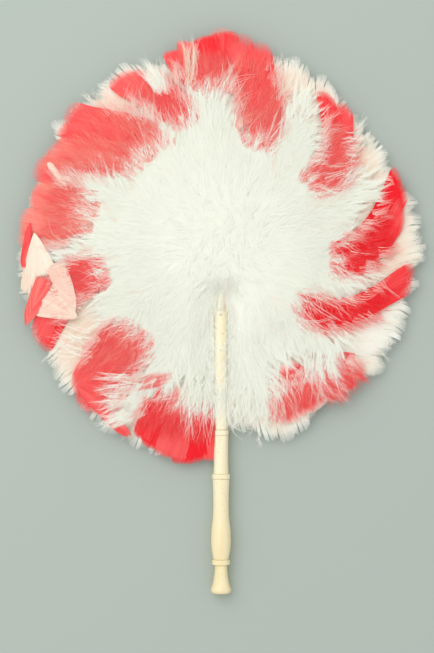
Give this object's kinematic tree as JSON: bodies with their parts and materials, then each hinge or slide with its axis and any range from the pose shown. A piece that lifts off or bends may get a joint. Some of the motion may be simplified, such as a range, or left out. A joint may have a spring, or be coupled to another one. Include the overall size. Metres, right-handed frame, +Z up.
{
  "type": "feather hand fan",
  "caption": "Round hand fan with a ring of red and white feathers, a white down centre and a turned handle whose slotted stem grips a card disc.",
  "frame": {"origin": "on the table under the centre of the card disc, on the flat underside of the back down", "axes": "+Z up, out of the fan's face; the handle runs along -Y; +X is to the right, seen from above"},
  "size_m": [0.269, 0.3774, 0.023],
  "materials": {
    "bone": "polished, aged",
    "pin_metal": "dull",
    "card": "matt pasteboard",
    "white_feather": "soft feather",
    "red_feather": "dyed feather",
    "down": "fluffy down"
  },
  "bodies": {
    "root": {"handle_foot": "bone", "lower_collar": "bone", "grip": "bone", "upper_collar": "bone", "shank": "bone", "neck_bead": "bone", "slotted_stem": "bone", "stem_pin_1": "pin_metal", "stem_pin_2": "pin_metal", "stem_pin_3": "pin_metal", "card_disc": "card", "white_feather_01": "white_feather", "white_feather_02": "white_feather", "white_feather_03": "white_feather", "white_feather_04": "white_feather", "white_feather_05": "white_feather", "white_feather_06": "white_feather", "white_feather_07": "white_feather", "white_feather_08": "white_feather", "white_feather_09": "white_feather", "white_feather_10": "white_feather", "white_feather_11": "white_feather", "white_feather_12": "white_feather", "white_feather_13": "white_feather", "white_feather_14": "white_feather", "covert_feather_01": "white_feather", "covert_feather_02": "white_feather", "covert_feather_03": "white_feather", "covert_feather_04": "white_feather", "covert_feather_05": "white_feather", "covert_feather_06": "white_feather", "covert_feather_07": "white_feather", "covert_feather_08": "white_feather", "covert_feather_09": "white_feather", "covert_feather_10": "white_feather", "covert_feather_11": "white_feather", "back_feather_01": "white_feather", "back_feather_02": "white_feather", "back_feather_03": "white_feather", "back_feather_04": "white_feather", "back_feather_05": "white_feather", "back_feather_06": "white_feather", "back_feather_07": "white_feather", "back_feather_08": "white_feather", "back_feather_09": "white_feather", "red_feather_01": "red_feather", "red_feather_02": "red_feather", "red_feather_03": "red_feather", "red_feather_04": "red_feather", "red_feather_05": "red_feather", "red_feather_06": "red_feather", "red_feather_07": "red_feather", "red_feather_08": "red_feather", "red_feather_09": "red_feather", "red_feather_10": "red_feather", "red_feather_11": "red_feather", "red_feather_12": "red_feather", "red_feather_13": "red_feather", "front_down": "down", "back_down": "down"}
  },
  "joints": []
}
